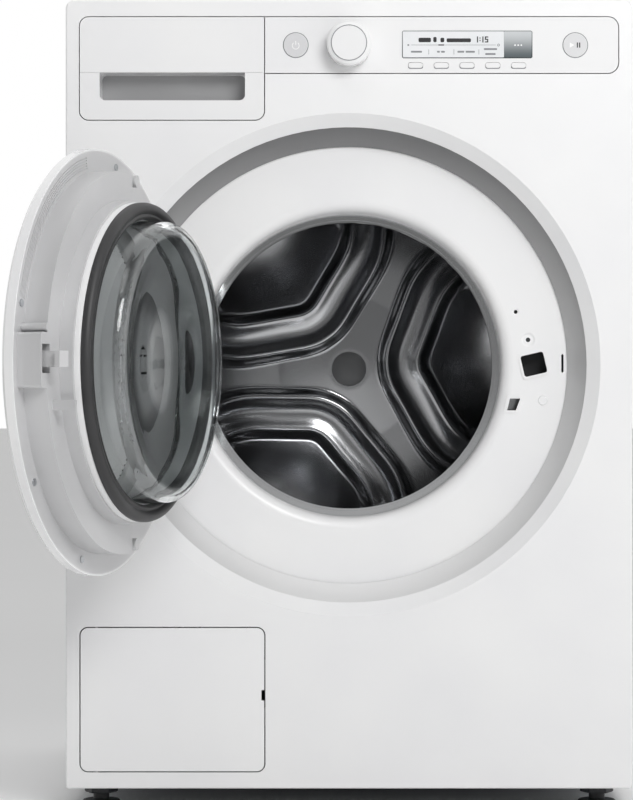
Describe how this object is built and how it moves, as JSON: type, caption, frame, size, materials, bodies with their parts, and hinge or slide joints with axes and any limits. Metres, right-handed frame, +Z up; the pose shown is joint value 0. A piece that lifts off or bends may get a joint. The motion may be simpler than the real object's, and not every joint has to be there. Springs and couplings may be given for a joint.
{
  "type": "front load washing machine",
  "caption": "Free-standing front load washing machine, its porthole door open, with a drum and motor on sprung dampers, a detergent drawer, a selector knob and keys.",
  "frame": {"origin": "on the floor, under the middle of the cabinet", "axes": "+Z up, +Y from the front to the back, +X to the right of a person facing the front"},
  "size_m": [0.6177, 0.9771, 0.85],
  "materials": {
    "aluminium": "die cast",
    "cast_iron": "cast",
    "clear_glass": "clear",
    "concrete": "cast concrete",
    "dark_plastic": "moulded",
    "display": "printed window",
    "grey_plastic": "moulded",
    "polished_stainless": "polished",
    "rubber": "smooth",
    "silver_paint": "satin silver paint",
    "smoked_glass": "smoked",
    "spring_steel": "oiled",
    "stainless": "satin stainless",
    "white_gloss": "gloss",
    "white_satin": "satin",
    "white_steel": "gloss white enamel",
    "zinc_steel": "zinc plated"
  },
  "bodies": {
    "cabinet": {"base_tray": "zinc_steel", "cabinet_wrapper": "white_steel", "back_panel": "zinc_steel", "top_panel": "white_steel", "front_panel": "white_steel", "porthole_ring": "silver_paint", "control_fascia": "white_gloss", "display_module": "display", "dispenser_housing": "white_satin", "inlet_valve": "white_satin", "mains_gland": "dark_plastic", "drain_pump": "grey_plastic", "sump_hose": "rubber", "dispenser_hose": "rubber", "cabinet_screws": "zinc_steel", "damper_cylinders": "grey_plastic", "damper_springs": "spring_steel", "foot_locknuts": "dark_plastic"},
    "washing_unit": {"tub_shell": "stainless", "tub_front": "stainless", "front_plate": "white_steel", "steel_lip": "polished_stainless", "bearing_housing": "cast_iron", "drum_bearings": "polished_stainless", "motor_housing": "aluminium", "drive_belt": "rubber", "counterweights": "concrete", "door_lock": "white_satin", "hinge_bracket": "zinc_steel", "damper_rods": "zinc_steel"},
    "drum": {"drum_shell": "stainless", "drum_back": "stainless", "drum_lifters": "stainless", "drum_shaft": "zinc_steel", "drum_pulley": "aluminium"},
    "rotor": {"motor_rotor": "zinc_steel"},
    "door": {"door_outer_ring": "white_gloss", "door_window": "smoked_glass", "door_inner_frame": "silver_paint", "door_glass": "clear_glass", "door_seal": "rubber", "hinge_arm": "zinc_steel", "door_screws": "zinc_steel"},
    "hook": {"latch_hook": "aluminium"},
    "knob": {"selector_knob": "white_gloss"},
    "power": {"power_button": "white_gloss"},
    "start": {"start_button": "white_gloss"},
    "drawer": {"drawer_front": "white_gloss", "drawer_tray": "white_satin"},
    "flap": {"service_flap": "white_gloss"},
    "filter": {"filter_cap": "grey_plastic"},
    "key_1": {"soft_key_1": "white_gloss"},
    "key_2": {"soft_key_2": "white_gloss"},
    "key_3": {"soft_key_3": "white_gloss"},
    "key_4": {"soft_key_4": "white_gloss"},
    "key_5": {"soft_key_5": "white_gloss"},
    "foot_front_left": {"foot_front_left": "dark_plastic"},
    "foot_front_right": {"foot_front_right": "dark_plastic"},
    "foot_rear_left": {"foot_rear_left": "dark_plastic"},
    "foot_rear_right": {"foot_rear_right": "dark_plastic"}
  },
  "joints": [
    {"name": "suspension_slide", "type": "slide", "parent": "cabinet", "child": "washing_unit", "axis": [0, 0, 1], "range_m": [-0.006, 0.006], "stiffness_N_per_m": 40000, "springref_m": 0.01308, "deforming": ["damper_springs", "sump_hose", "dispenser_hose"]},
    {"name": "drum_spin", "type": "hinge", "parent": "washing_unit", "child": "drum", "pos_m": [0, 0, 0.468], "axis": [0, 1, 0], "continuous": true},
    {"name": "motor_spin", "type": "hinge", "parent": "washing_unit", "child": "rotor", "pos_m": [0.06, 0.06, 0.135], "axis": [0, 1, 0], "continuous": true},
    {"name": "door_hinge", "type": "hinge", "parent": "washing_unit", "child": "door", "pos_m": [-0.188, -0.2815, 0.468], "axis": [0, 0, -1], "range_deg": [-108, 20]},
    {"name": "latch_hook_pivot", "type": "hinge", "parent": "door", "child": "hook", "pos_m": [-0.29245, -0.64502, 0.468], "axis": [0, 0, 1], "range_deg": [0, 8], "stiffness_Nm_per_rad": 0.6},
    {"name": "knob_turn", "type": "hinge", "parent": "cabinet", "child": "knob", "pos_m": [0, -0.2925, 0.8035], "axis": [0, 1, 0], "continuous": true},
    {"name": "power_press", "type": "slide", "parent": "cabinet", "child": "power", "axis": [0, 1, 0], "range_m": [0, 0.0015], "stiffness_N_per_m": 800},
    {"name": "start_press", "type": "slide", "parent": "cabinet", "child": "start", "axis": [0, 1, 0], "range_m": [0, 0.0015], "stiffness_N_per_m": 800},
    {"name": "key_1_press", "type": "slide", "parent": "cabinet", "child": "key_1", "axis": [0, 1, 0], "range_m": [0, 0.001], "stiffness_N_per_m": 800},
    {"name": "key_2_press", "type": "slide", "parent": "cabinet", "child": "key_2", "axis": [0, 1, 0], "range_m": [0, 0.001], "stiffness_N_per_m": 800},
    {"name": "key_3_press", "type": "slide", "parent": "cabinet", "child": "key_3", "axis": [0, 1, 0], "range_m": [0, 0.001], "stiffness_N_per_m": 800},
    {"name": "key_4_press", "type": "slide", "parent": "cabinet", "child": "key_4", "axis": [0, 1, 0], "range_m": [0, 0.001], "stiffness_N_per_m": 800},
    {"name": "key_5_press", "type": "slide", "parent": "cabinet", "child": "key_5", "axis": [0, 1, 0], "range_m": [0, 0.001], "stiffness_N_per_m": 800},
    {"name": "drawer_slide", "type": "slide", "parent": "cabinet", "child": "drawer", "axis": [0, -1, 0], "range_m": [0, 0.18]},
    {"name": "flap_hinge", "type": "hinge", "parent": "cabinet", "child": "flap", "pos_m": [-0.265, -0.289, 0.11645], "axis": [0, 0, -1], "range_deg": [0, 100]},
    {"name": "filter_turn", "type": "hinge", "parent": "cabinet", "child": "filter", "pos_m": [-0.185, -0.2585, 0.108], "axis": [0, -1, 0], "range_deg": [0, 120]},
    {"name": "foot_front_left_turn", "type": "hinge", "parent": "cabinet", "child": "foot_front_left", "pos_m": [-0.264, -0.2455, 0], "axis": [0, 0, 1], "continuous": true},
    {"name": "foot_front_right_turn", "type": "hinge", "parent": "cabinet", "child": "foot_front_right", "pos_m": [0.264, -0.2455, 0], "axis": [0, 0, 1], "continuous": true},
    {"name": "foot_rear_left_turn", "type": "hinge", "parent": "cabinet", "child": "foot_rear_left", "pos_m": [-0.264, 0.2455, 0], "axis": [0, 0, 1], "continuous": true},
    {"name": "foot_rear_right_turn", "type": "hinge", "parent": "cabinet", "child": "foot_rear_right", "pos_m": [0.264, 0.2455, 0], "axis": [0, 0, 1], "continuous": true}
  ],
  "couplings": [
    {"joint": "motor_spin", "follows": "drum_spin", "ratio": 12.727}
  ]
}
